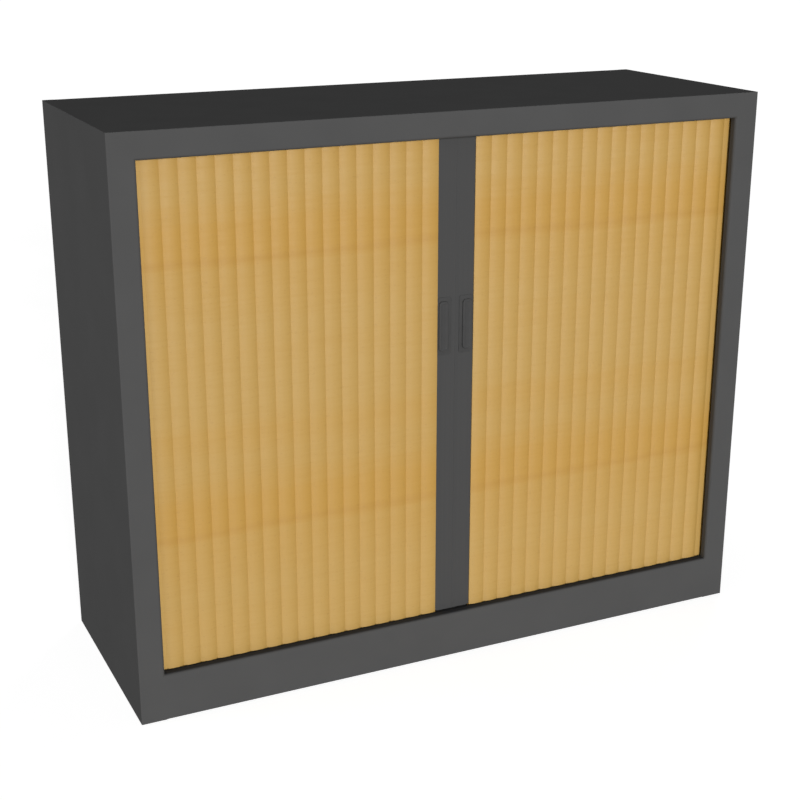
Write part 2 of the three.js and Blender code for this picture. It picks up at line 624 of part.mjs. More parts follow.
// The base is one pressing from the plinth's return up its front, back over the ledge, down
// to the floor that carries the lower tracks, and down again at the rear. Threaded sleeves
// under the floor take the levelling feet.
function addBasePanel() {
  const front = FRONT + HALF_SHEET;
  const ledge = PLINTH_HEIGHT - HALF_SHEET;
  const flangeX = SIDE_SKIN - SEAT;
  const pressing = foldedSheet(
    [front + PLINTH_RETURN, HALF_SHEET], [front, HALF_SHEET], [front, ledge, OPENING_BEND],
    [LIP, ledge], [LIP, FLOOR], [BASE_REAR, FLOOR], [BASE_REAR, HALF_SHEET], [BASE_REAR - PLINTH_RETURN, HALF_SHEET]);
  const flangeBottom = FLOOR - BASE_SIDE_FLANGE;
  const tray = foldedSheet(
    [-flangeX, flangeBottom], [-flangeX, FLOOR], [flangeX, FLOOR], [flangeX, flangeBottom]);
  const nutBottom = FLOOR - NUT_LENGTH;
  const bore = STUD_RADIUS + GAP;
  const nuts = FEET.map(({ x, y }) => upright(bore + NUT_WALL, x, y, nutBottom, FLOOR));
  const holes = FEET.map(({ x, y }) => upright(bore, x, y, nutBottom - OVERRUN, FLOOR + OVERRUN));
  const panel = join(
    alongX(pressing, -OPENING, OPENING),
    alongY(tray, LIP + SEAT, BASE_REAR - BEND_RADIUS - HALF_SHEET),
    ...nuts);
  addPiece('base_panel', cut(panel, ...holes), COATED_STEEL);
}

function addFeet() {
  const floor = GLIDE_LIFT;
  const profile = [
    [0, floor],
    [GLIDE_RADIUS - GLIDE_CHAMFER, floor],
    [GLIDE_RADIUS, floor + GLIDE_CHAMFER],
    [GLIDE_RADIUS, floor + GLIDE_HEIGHT - GLIDE_CHAMFER],
    [GLIDE_RADIUS - GLIDE_CHAMFER, floor + GLIDE_HEIGHT],
    [STUD_RADIUS, floor + GLIDE_HEIGHT],
    [STUD_RADIUS, FLOOR - STUD_RADIUS / 4],
    [STUD_RADIUS - STUD_RADIUS / 4, FLOOR],
    [0, FLOOR],
  ].map(([x, y]) => new THREE.Vector2(x, y));
  for (const { name, x, y } of FEET) {
    const geometry = new THREE.LatheGeometry(profile, ROUND_STEPS).rotateX(Math.PI / 2);
    addPiece(name, geometry, ZINC_STEEL).position.set(x, y, 0);
  }
}

// The back panel is a flat sheet with upright ribs pressed outwards
function addBackPanel() {
  const edge = SIDE_SKIN - SEAT;
  const rib = (x) => [
    [x - RIB_WIDTH / 2 - RIB_SLOPE, BACK_PANEL],
    [x - RIB_WIDTH / 2, BACK_PANEL + RIB_HEIGHT],
    [x + RIB_WIDTH / 2, BACK_PANEL + RIB_HEIGHT],
    [x + RIB_WIDTH / 2 + RIB_SLOPE, BACK_PANEL],
  ];
  const section = foldedSheet(
    [-edge, BACK_PANEL], ...rib(-RIB_SPACING / 2), ...rib(RIB_SPACING / 2), [edge, BACK_PANEL]);
  addPiece('back_panel', alongZ(section, SHEET, HEIGHT - TOP_REAR_FLANGE - GAP), COATED_STEEL);
}

// The inner back closes the cupboard's inside in front of the stored curtains
function addInnerBack() {
  const edge = PARTITION - SEAT;
  const section = foldedSheet(
    [-edge, LINER - LINER_FLANGE], [-edge, LINER], [edge, LINER], [edge, LINER - LINER_FLANGE]);
  addPiece('inner_back_panel', alongZ(section, PARTITION_BOTTOM, PARTITION_TOP), COATED_STEEL);
}

function slotBottoms() {
  const first = PARTITION_BOTTOM + SLOT_FIRST_HEIGHT;
  const room = PARTITION_TOP - SLOT_FIRST_HEIGHT - SLOT_HEIGHT - first;
  const count = Math.floor(room / SLOT_PITCH) + 1;
  return Array.from({ length: count }, (_, i) => first + i * SLOT_PITCH);
}

// An inner side is a flat sheet with two columns of slots for the shelves' hooks
function addInnerSide(side, label) {
  const faces = [side * PARTITION - HALF_SHEET, side * PARTITION + HALF_SHEET];
  const through = [faces[0] - OVERRUN, faces[1] + OVERRUN];
  const sheet = box(faces, [PARTITION_FRONT, PARTITION_REAR], [PARTITION_BOTTOM, PARTITION_TOP]);
  const slots = SLOT_COLUMNS.flatMap((column) => slotBottoms().map((bottom) => box(
    through, [column - SLOT_WIDTH / 2, column + SLOT_WIDTH / 2], [bottom, bottom + SLOT_HEIGHT])));
  addPiece(`${label}_inner_side`, cut(sheet, ...slots), COATED_STEEL);
}

// A hook passes through a slot and drops behind the inner side
function hookOutline(side, top, slotBottom) {
  const behind = PARTITION + HALF_SHEET + GAP;
  const points = [
    [SHELF_HALF - SHEET, top],
    [behind + HOOK_LIP, top],
    [behind + HOOK_LIP, slotBottom - HOOK_DROP],
    [behind, slotBottom - HOOK_DROP],
    [behind, slotBottom + GAP],
    [SHELF_HALF - SHEET, slotBottom + GAP],
  ];
  return shapeOf(points.map(([x, y]) => [side * x, y]));
}

// A shelf is a tray that is folded down all round, with two hooks at each end
function addShelf(number, slotBottom) {
  const armTop = slotBottom + GAP + HOOK_ARM;
  const middle = armTop + HOOK_BELOW_TOP - HALF_SHEET;
  const bottom = middle + HALF_SHEET - SHELF_THICKNESS + HALF_SHEET;
  const front = PARTITION_FRONT + SHELF_SETBACK;
  const rear = LINER - SEAT;
  const edge = SHELF_HALF - HALF_SHEET;
  const lengthwise = foldedSheet(
    [front + SHELF_RETURN, bottom], [front, bottom], [front, middle], [rear, middle], [rear, bottom],
    [rear - SHELF_RETURN, bottom]);
  const crosswise = foldedSheet([-edge, bottom], [-edge, middle], [edge, middle], [edge, bottom]);
  const hooks = [];
  for (const side of [-1, 1]) {
    for (const column of SLOT_COLUMNS) {
      const outline = hookOutline(side, armTop, slotBottom);
      hooks.push(alongY(outline, column - HOOK_THICKNESS / 2, column + HOOK_THICKNESS / 2));
    }
  }
  const shelf = join(
    alongX(lengthwise, -edge, edge),
    alongY(crosswise, front + FOLD, rear - FOLD),
    ...hooks);
  addPiece(`shelf_${number}`, shelf, COATED_STEEL);
}

addTopPanel();
addCeilingPanel();
addBasePanel();
addBackPanel();
addInnerBack();
for (const [side, label] of [[-1, 'left'], [1, 'right']]) {
  addSidePanel(side, label);
  addInnerSide(side, label);
  addTrack(side, `${label}_lower`, LOWER_TRACK, LOWER_TRACK + TRACK_FLOOR, PLINTH_HEIGHT + OVERRUN);
  addTrack(side, `${label}_upper`, OPENING_TOP, OPENING_TOP - OVERRUN, UPPER_TRACK_TOP - TRACK_FLOOR);
  addLeadBar(side, label);
  addHandle(side, label);
  addCurtainSlats(side, label);
}
SHELF_SLOTS.forEach((slot, i) => addShelf(i + 1, slotBottoms()[slot]));
addFeet();

export default cupboard;
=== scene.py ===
"""Dresses the packed tambour door cupboard.

The sheet metal, the tracks and the lead bars of the packed model keep their shapes and get
their finishes. The slats, the handles and the levelling feet are modelled anew, as fine as
they are seen. Lengths are in metres, X to the right, Y to the back, Z up, and the origin is
on the floor under the middle of the cupboard.
"""

import math

import bmesh
import bpy
from bpy.props import FloatProperty, FloatVectorProperty, IntProperty, PointerProperty
from mathutils import Matrix, Vector


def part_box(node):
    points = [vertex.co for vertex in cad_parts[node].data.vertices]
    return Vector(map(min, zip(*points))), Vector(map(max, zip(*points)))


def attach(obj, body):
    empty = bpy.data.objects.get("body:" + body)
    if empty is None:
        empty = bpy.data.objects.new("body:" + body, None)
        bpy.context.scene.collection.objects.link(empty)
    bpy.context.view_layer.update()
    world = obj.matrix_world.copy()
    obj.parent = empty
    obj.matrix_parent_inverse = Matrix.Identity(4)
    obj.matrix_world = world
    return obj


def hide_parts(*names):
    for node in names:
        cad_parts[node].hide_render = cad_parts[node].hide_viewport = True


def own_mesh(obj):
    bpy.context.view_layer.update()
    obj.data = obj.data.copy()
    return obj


bl_info = {
    "name": "Tambour door cupboard",
    "version": (1, 0, 0),
    "blender": (4, 5, 0),
    "location": "View3D > Sidebar > Cupboard",
    "description": "Models and finishes a steel cupboard with two tambour curtains",
    "category": "Object",
}

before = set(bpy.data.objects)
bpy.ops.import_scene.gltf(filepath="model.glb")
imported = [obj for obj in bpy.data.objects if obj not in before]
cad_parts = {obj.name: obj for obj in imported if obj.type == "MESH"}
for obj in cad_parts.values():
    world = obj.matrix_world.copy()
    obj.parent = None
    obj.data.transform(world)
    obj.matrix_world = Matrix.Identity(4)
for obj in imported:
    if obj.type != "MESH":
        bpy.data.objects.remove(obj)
bpy.context.view_layer.update()

MM = 0.001
QUARTER_TURN = math.pi / 2
FULL_TURN = 4 * QUARTER_TURN
SIDES = {"left": -1, "right": 1}
SHARP_ANGLE = math.radians(32)
WELD_DISTANCE = 0.001 * MM
SLATS_PER_CURTAIN = sum(name.startswith("right_slat_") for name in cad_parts)
FEET = [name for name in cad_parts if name.endswith("_foot")]
OUTER_STEEL = ("top_panel", "left_side_panel", "right_side_panel", "back_panel")
INNER_STEEL = ("ceiling_panel", "inner_back_panel", "left_inner_side", "right_inner_side")
SHELVES = ("shelf_1", "shelf_2")


def linear(code):
    """Turns an sRGB colour such as 0xC59E5F into linear red, green and blue"""
    channels = [(code >> shift & 0xFF) / 0xFF for shift in (16, 8, 0)]
    return [c / 12.92 if c <= 0.04045 else ((c + 0.055) / 1.055) ** 2.4 for c in channels]


def length(name, description, millimetres):
    return FloatProperty(name=name, description=description, default=millimetres * MM,
                         min=0, precision=5, subtype="DISTANCE", unit="LENGTH")


def angle(name, description, degrees):
    return FloatProperty(name=name, description=description, default=math.radians(degrees),
                         subtype="ANGLE", unit="ROTATION")


def colour(name, description, code):
    return FloatVectorProperty(name=name, description=description, default=linear(code),
                               min=0, max=1, subtype="COLOR")


def share(name, description, value):
    return FloatProperty(name=name, description=description, default=value,
                         min=0, max=1, subtype="FACTOR")


def steps(name, description, count):
    return IntProperty(name=name, description=description, default=count, min=1)


# Sizes and colours that a user may change

class SlatSizes(bpy.types.PropertyGroup):
    """The section of a slat, and the line on which the slats' joints run"""

    pitch: length("Pitch", "From one joint to the next", 30)
    crown: length("Crown", "Rise of a slat's face over its width", 3)
    wall: length("Wall", "Thickness of the face", 1.4)
    flat: length("Flat", "Width of the flat along the middle of a slat's face", 1)
    flank_angle: angle("Flank angle", "Slope of the face beside a joint", 21)
    open_line: length("Open line", "Gap between the faces of two slats", 0.04)
    bead_radius: length("Bead radius", "Radius of the bead that hooks into the next slat", 1.3)
    play: length("Play", "Clearance between a bead and the socket round it", 0.4)
    socket_wall: length("Socket wall", "Thickness of the socket", 1)
    face_gap: length("Face gap", "Clearance between a socket and the next slat's face", 0.3)
    neck_width: length("Neck width", "Thickness of the neck that carries the bead", 1)
    neck_angle: angle("Neck angle", "Slope of the neck from the slat's own line", 45)
    web_reach: length("Web reach", "From the joint to the root of the socket's web", 4.5)
    web_angle: angle("Web angle", "Where the web leaves the socket", 150)
    first_joint: length("First joint", "From the middle to the lead bar's socket", 35)
    corner_radius: length("Corner radius", "Radius of the track's corners", 38)
    corner_start: length("Corner start", "From the middle to where the track turns", 550.771)
    stack_start: length("Stack start", "Where the first slat of an open curtain stands", 557.2)
    stack_end: length("Stack end", "Where the last slat of an open curtain stands", 580.8)
    stack_keep: share("Stack thickness", "Share of its width that a stacked slat keeps", 0.026)
    hold: share("Hold", "Where across its width a slat is held as it stacks", 0.5)
    turned_hold: share("Turned hold", "Where the slat on the corner is held as it stacks", 0.75)
    face_steps: steps("Face steps", "Facets across a slat's face", 20)
    round_steps: steps("Round steps", "Facets round a bead or a socket", 20)


class HandleSizes(bpy.types.PropertyGroup):
    """The roundings of a handle's plate, and its grip"""

    plate_thickness: length("Plate thickness", "Thickness of the plate", 0.8)
    plate_corner: length("Plate corner", "Radius of the plate's corners", 5)
    plate_edge: length("Plate edge", "Rounding along the plate's edge", 0.3)
    grip_width: length("Grip width", "Width of the grip", 19)
    grip_height: length("Grip height", "Height of the grip", 90)
    grip_inset: length("Grip inset", "From the plate's outer edge to the grip", 2)
    grip_corner: length("Grip corner", "Radius of the grip's corners", 7)
    grip_edge: length("Grip edge", "Rounding along the grip's edge", 2)
    grip_root: length("Grip root", "How deep the grip is sunk into the plate", 0.4)
    hollow_margin: length("Hollow margin", "From the grip's edge to its hollow", 1.5)
    hollow_slope: length("Hollow slope", "Width of the slope into the hollow", 3)
    hollow_depth: length("Hollow depth", "Depth of the hollow", 0.8)
    corner_steps: steps("Corner steps", "Facets round a corner", 8)
    edge_steps: steps("Edge steps", "Facets across a rounded edge", 4)
    hollow_steps: steps("Hollow steps", "Facets down the slope of the hollow", 6)


class FootSizes(bpy.types.PropertyGroup):
    """The turned profile of a levelling foot"""

    glide_height: length("Glide height", "Height of the disc on the floor", 8)
    glide_edge: length("Glide edge", "Rounding of the disc's edges", 1.5)
    collar_radius: length("Collar radius", "Radius of the collar on the disc", 7.5)
    collar_height: length("Collar height", "Height of the collar", 4)
    stud_radius: length("Stud radius", "Radius over the thread", 4.7)
    thread_pitch: length("Thread pitch", "From one turn of the thread to the next", 1.5)
    thread_depth: length("Thread depth", "Depth of the thread", 0.8)
    edge_steps: steps("Edge steps", "Facets across a rounded edge", 4)
    round_steps: steps("Round steps", "Facets round the foot", 32)


class Finishes(bpy.types.PropertyGroup):
    """Colours of the pieces, and how strongly the film's print shows"""

    coat: colour("Coat", "Powder coat of the sheet metal", 0x545454)
    coat_light: colour("Coat, light", "The coat where it lies thicker", 0x565656)
    # Painted shade: a darker, bluish grey laid on the ledge under the curtains, where shade falls
    ledge_painted_shade: colour("Coat, thin", "The coat on the ledge under the curtains", 0x3C3E41)
    # Painted shade: the bars' coat is drawn darker than the sheet's, for their place set back
    # behind the frame
    bar: colour("Lead bars", "Coat of the lead bars", 0x4A4A4A)
    bar_light: colour("Lead bars, light", "The bars' coat along the die lines", 0x4D4D4D)
    handle: colour("Handles", "Moulded plastic of the handles", 0x434343)
    handle_light: colour("Handles, light", "Paler clouds in that plastic", 0x474747)
    track: colour("Tracks", "Moulded plastic of the tracks", 0x232324)
    track_light: colour("Tracks, light", "Paler clouds in that plastic", 0x29292A)
    film_pale: colour("Film, pale", "Beech film between its bands", 0xBB954B)
    film_warm: colour("Film, warm", "Beech film in its warm bands", 0xBB8F3A)
    film_dark: colour("Film, dark", "Lines and streaks of the beech film", 0xB28533)
    film_fleck: colour("Film, flecks", "Short flecks of the beech film", 0x9A702C)
    streak_strength: share("Streaks", "How strongly the film's streaks show", 0.13)
    line_strength: share("Line", "How strongly the film's darker line shows", 0.5)
    fleck_strength: share("Flecks", "How strongly the film's flecks show", 0.2)
    zinc: colour("Zinc", "Zinc plating of the feet", 0x9A9C9E)
    zinc_dull: colour("Zinc, dull", "Duller patches of the plating", 0x85878A)
    floor: colour("Floor", "Pale studio floor", 0xC4C4C4)
    floor_dull: colour("Floor, dull", "Duller patches of the studio floor", 0xBCBCBC)


class StudioLight(bpy.types.PropertyGroup):
    """Lamps, as shares of the light that shows a colour as it is written"""

    world: share("World", "Light from all round", 0.175)
    front: share("Front", "Lamp in front", 0.82)
    left: share("Left", "Lamp on the left", 0.33)
    back: share("Back", "Lamp behind", 0.32)
    softness: angle("Softness", "Angle across which a lamp is seen", 14)
    floor_glow: share("Floor glow", "White that the floor adds where the camera sees it", 0.84)


# Materials

def add_node(owner, kind, inputs=None, stops=None, **settings):
    """Adds a node with its settings. An input is a value, or a socket that is linked to it."""
    tree = owner.node_tree
    node = tree.nodes.new(kind)
    for name, value in settings.items():
        setattr(node, name, value)
    for name, value in (inputs or {}).items():
        if isinstance(value, bpy.types.NodeSocket):
            tree.links.new(value, node.inputs[name])
        else:
            node.inputs[name].default_value = value
    if stops:
        elements = node.color_ramp.elements
        while len(elements) < len(stops):
            elements.new(1)
        for element, (position, tone) in zip(elements, stops):
            element.position = position
            element.color = (*tone, 1)
    return node


def new_material(name):
    """A material without its shader, and the place on the piece that its patterns follow"""
    material = bpy.data.materials.new(name)
    material.use_nodes = True
    material.node_tree.nodes.clear()
    return material, add_node(material, "ShaderNodeTexCoord").outputs["Object"]


# Nearly all of a pattern's values lie between these two
PATTERN_SPAN = (0.3, 0.7)


def pattern(material, place, sizes_mm, detail=2):
    """Noise whose patches are about as large as the sizes in mm, along X, Y and Z"""
    scaled = add_node(material, "ShaderNodeMapping", {
        "Vector": place, "Scale": [1 / (size * MM) for size in sizes_mm]})
    noise = add_node(material, "ShaderNodeTexNoise", {
        "Vector": scaled.outputs["Vector"], "Scale": 1, "Detail": detail})
    return noise.outputs["Fac"]


def layered(material, below, above, value, span=PATTERN_SPAN, strength=(0, 1)):
    """One colour over another. Where a value crosses its span, the strength of the upper
    colour goes from the first to the second. The lower colour may be a socket."""
    cover = add_node(material, "ShaderNodeMapRange", {
        "Value": value, "From Min": span[0], "From Max": span[1],
        "To Min": strength[0], "To Max": strength[1]})
    mix = add_node(material, "ShaderNodeMix", {"Factor": cover.outputs["Result"]},
                   data_type="RGBA")
    colours = {socket.name: socket for socket in mix.inputs if socket.type == "RGBA"}
    if isinstance(below, bpy.types.NodeSocket):
        material.node_tree.links.new(below, colours["A"])
    else:
        colours["A"].default_value = (*below, 1)
    colours["B"].default_value = (*above, 1)
    return next(socket for socket in mix.outputs if socket.type == "RGBA")


def finish_surface(material, tone, roughness, relief, constants):
    """Ends a material in its shader. Roughness is given by a pattern and the values where the
    pattern is low and high, and relief by a pattern and its depth in mm."""
    mottle, low, high = roughness
    height, depth_mm = relief
    rough = add_node(material, "ShaderNodeMapRange", {
        "Value": mottle, "From Min": PATTERN_SPAN[0], "From Max": PATTERN_SPAN[1],
        "To Min": low, "To Max": high})
    bump = add_node(material, "ShaderNodeBump", {
        "Height": height, "Distance": depth_mm * MM, "Strength": 1})
    shader = add_node(material, "ShaderNodeBsdfPrincipled", {
        "Base Color": tone, "Roughness": rough.outputs["Result"],
        "Normal": bump.outputs["Normal"], **constants})
    add_node(material, "ShaderNodeOutputMaterial", {"Surface": shader.outputs["BSDF"]})
    return material


# How far past the ledge's edges the painted shade on it fades out
SHADE_FADE = 3 * MM


def powder_coated_steel(name, finishes, ledge=None):
    """Matt polyester powder coat, sprayed on steel sheet and baked. It gives an even dark grey
    with a faint orange peel, a little paler where the powder lies thicker. On a ledge, given
    by its front and its back, a darker colour is laid on as painted shade."""
    material, place = new_material(name)
    clouds = pattern(material, place, (90, 90, 90))
    # Real orange peel is 1 to 2 mm wide. It is drawn at 5 mm, so that it still shows.
    peel = pattern(material, place, (5, 5, 5), detail=1)
    tone = layered(material, finishes.coat, finishes.coat_light, clouds)
    # Painted shade: a darker grey over the ledge between its front and back, fading out past them
    if ledge is not None:
        front, back = ledge
        depth = add_node(material, "ShaderNodeSeparateXYZ", {"Vector": place}).outputs["Y"]
        behind = add_node(material, "ShaderNodeMath", {0: depth, 1: (front + back) / 2},
                          operation="SUBTRACT").outputs["Value"]
        away = add_node(material, "ShaderNodeMath", {0: behind},
                        operation="ABSOLUTE").outputs["Value"]
        half = (back - front) / 2
        tone = layered(material, tone, finishes.ledge_painted_shade, away,
                       span=(half, half + SHADE_FADE), strength=(1, 0))
    return finish_surface(material, tone, (peel, 0.7, 0.8), (peel, 0.02),
                          {"Specular IOR Level": 0})


def coated_aluminium(finishes):
    """Powder-coated aluminium extrusion. Faint upright lines from the die show through."""
    material, place = new_material("powder_coated_aluminium_extrusion")
    # Real die lines are under 1 mm wide. They are drawn at 2.5 mm, so that they still show.
    lines = pattern(material, place, (2.5, 2.5, 900), detail=3)
    # The bar colours are darker than the sheet's as painted shade for the bars' recess
    tone = layered(material, finishes.bar, finishes.bar_light, lines)
    return finish_surface(material, tone, (lines, 0.6, 0.7), (lines, 0.02),
                          {"Specular IOR Level": 0.05})


def moulded_plastic(name, base, light, grain_mm):
    """Injection-moulded plastic from a spark-eroded mould: an even, fine, matt grain"""
    material, place = new_material(name)
    # A real grain is 0.1 to 0.3 mm wide. It is drawn some ten times wider, so that it still shows.
    grain = pattern(material, place, (grain_mm, grain_mm, grain_mm), detail=3)
    clouds = pattern(material, place, (25, 25, 25))
    tone = layered(material, base, light, clouds)
    return finish_surface(material, tone, (grain, 0.5, 0.64), (grain, 0.03),
                          {"Specular IOR Level": 0.1})


# The print on the film repeats up a slat. It has a dark line at a height over the floor, which
# fades within a reach above and below, and its bands waver. All of these are in mm. Each stop
# is a height over the dark line, and how warm the print is there.
FILM_REPEAT = 464
FILM_LINE_HEIGHT = 320
FILM_LINE_REACH = 11
FILM_WAVER = 9
FILM_WARMTH = (
    (0, 1), (50, 1), (60, 0.92), (68, 0.68), (86, 0.58), (100, 0.26), (126, 0.13), (148, 0.35),
    (174, 0.46), (190, 0.14), (212, 0), (270, 0), (308, 0.13), (350, 0.03), (400, 0.32),
    (428, 0.47), (448, 0.45), (464, 1),
)


def beech_film(finishes):
    """Plastic slats wrapped in a printed beech film. The print's grain runs across the curtain:
    warm bands, one thin darker line, fine streaks and short flecks, under a satin lacquer."""
    material, place = new_material("beech_film_on_plastic_slats")
    height = add_node(material, "ShaderNodeSeparateXYZ", {"Vector": place}).outputs["Z"]
    waver = add_node(material, "ShaderNodeMapRange", {
        "Value": pattern(material, place, (260, 260, 60)),
        "To Min": -FILM_WAVER, "To Max": FILM_WAVER}).outputs["Result"]
    wavering = add_node(material, "ShaderNodeMath", {0: height, 1: 1 / MM, 2: waver},
                        operation="MULTIPLY_ADD").outputs["Value"]
    over_line = add_node(material, "ShaderNodeMath", {0: wavering, 1: FILM_LINE_HEIGHT},
                         operation="SUBTRACT").outputs["Value"]
    within = add_node(material, "ShaderNodeMath", {0: over_line, 1: FILM_REPEAT},
                      operation="FLOORED_MODULO").outputs["Value"]
    share_within = add_node(material, "ShaderNodeMath", {0: within, 1: FILM_REPEAT},
                            operation="DIVIDE").outputs["Value"]
    pale, warm = Vector(finishes.film_pale), Vector(finishes.film_warm)
    tone = add_node(material, "ShaderNodeValToRGB", {"Fac": share_within}, [
        (stop / FILM_REPEAT, pale.lerp(warm, warmth)) for stop, warmth in FILM_WARMTH
    ]).outputs["Color"]
    streaks = pattern(material, place, (75, 75, 4), detail=3)
    tone = layered(material, tone, finishes.film_dark, streaks,
                   span=(0.45, 0.75), strength=(0, finishes.streak_strength))
    from_line = add_node(material, "ShaderNodeMath", {0: over_line, 1: FILM_REPEAT / 2},
                         operation="PINGPONG").outputs["Value"]
    tone = layered(material, tone, finishes.film_dark, from_line,
                   span=(0, FILM_LINE_REACH), strength=(finishes.line_strength, 0))
    # Flecks of real beech are 1 mm high. They are drawn at 1.6 mm, so that they still show.
    flecks = pattern(material, place, (6, 6, 1.6), detail=0)
    tone = layered(material, tone, finishes.film_fleck, flecks,
                   span=(0.7, 0.8), strength=(0, finishes.fleck_strength))
    return finish_surface(material, tone, (streaks, 0.58, 0.66), (streaks, 0.01),
                          {"Specular IOR Level": 0.8})


def zinc_plated_steel(finishes):
    """Bright zinc plating on turned steel: fine rings from the lathe and duller patches"""
    material, place = new_material("zinc_plated_turned_steel")
    patches = pattern(material, place, (6, 6, 6))
    # Real rings are 0.1 to 0.2 mm apart. They are drawn at 0.8 mm, so that they still show.
    rings = pattern(material, place, (400, 400, 0.8))
    tone = layered(material, finishes.zinc, finishes.zinc_dull, patches, span=(0.35, 0.65))
    return finish_surface(material, tone, (patches, 0.3, 0.48), (rings, 0.02),
                          {"Metallic": 1})


def seen_ray(owner):
    """1 where the camera looks, straight or in a gloss or through glass, and 0 for light"""
    path = add_node(owner, "ShaderNodeLightPath")
    straight_or_gloss = add_node(owner, "ShaderNodeMath", {
        0: path.outputs["Is Camera Ray"], 1: path.outputs["Is Glossy Ray"]},
        operation="MAXIMUM")
    return add_node(owner, "ShaderNodeMath", {
        0: straight_or_gloss.outputs["Value"], 1: path.outputs["Is Transmission Ray"]},
        operation="MAXIMUM").outputs["Value"]


def pale_floor(finishes, glow_strength):
    """Matt painted studio floor. Where it is seen it is lifted to white, less its shadow."""
    material, place = new_material("matt_painted_studio_floor")
    clouds = pattern(material, place, (400, 400, 400))
    tone = layered(material, finishes.floor, finishes.floor_dull, clouds)
    matt = add_node(material, "ShaderNodeBsdfDiffuse", {"Color": tone})
    strength = add_node(material, "ShaderNodeMath", {0: seen_ray(material), 1: glow_strength},
                        operation="MULTIPLY")
    glow = add_node(material, "ShaderNodeEmission", {"Strength": strength.outputs["Value"]})
    both = add_node(material, "ShaderNodeAddShader", {
        0: matt.outputs["BSDF"], 1: glow.outputs["Emission"]})
    add_node(material, "ShaderNodeOutputMaterial", {"Surface": both.outputs["Shader"]})
    return material


# Outlines and pieces

def add_piece(name, bm, material, body, node):
    """Makes an object of a finished mesh. It rides on its body and stands for its CAD node."""
    bmesh.ops.remove_doubles(bm, verts=bm.verts, dist=WELD_DISTANCE)
    bmesh.ops.recalc_face_normals(bm, faces=bm.faces)
    for edge in bm.edges:
        edge.smooth = edge.calc_face_angle(0) < SHARP_ANGLE
    mesh = bpy.data.meshes.new(name)
    for face in bm.faces:
        face.smooth = True
    bm.to_mesh(mesh)
    bm.free()
    mesh.materials.append(material)
    piece = bpy.data.objects.new(name, mesh)
    bpy.context.scene.collection.objects.link(piece)
    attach(piece, body)
    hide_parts(node)
    return piece


def finish_nodes(material, names):
    """Gives CAD nodes, whose shapes stay as they are, their finish"""
    for name in names:
        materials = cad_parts[name].data.materials
        materials.clear()
        materials.append(material)


def vertices_of(made):
    return [item for item in made["geom"] if isinstance(item, bmesh.types.BMVert)]


def line_to(bm, pen, x, y):
    """Draws a straight edge on from the last vertex of an outline"""
    made = bmesh.ops.extrude_vert_indiv(bm, verts=[pen])
    made["verts"][0].co = (x, y, 0)
    return made["verts"][0]


def arc_to(bm, pen, centre, turn, count):
    """Draws an arc on from the last vertex of an outline, anticlockwise if the turn is positive"""
    made = bmesh.ops.spin(bm, geom=[pen], cent=(*centre, 0), axis=(0, 0, 1),
                          angle=turn, steps=count)
    return next(item for item in made["geom_last"] if isinstance(item, bmesh.types.BMVert))


def on_circle(centre, radius, at):
    return centre[0] + radius * math.cos(at), centre[1] + radius * math.sin(at)


def extrude_outline(bm, low, high):
    """Fills the outline that a mesh holds, and draws it out from one height to another"""
    made = bmesh.ops.contextual_create(bm, geom=bm.edges[:])
    bmesh.ops.translate(bm, verts=bm.verts, vec=(0, 0, low))
    raised = bmesh.ops.extrude_face_region(bm, geom=made["faces"], use_keep_orig=True)
    bmesh.ops.translate(bm, verts=vertices_of(raised), vec=(0, 0, high - low))


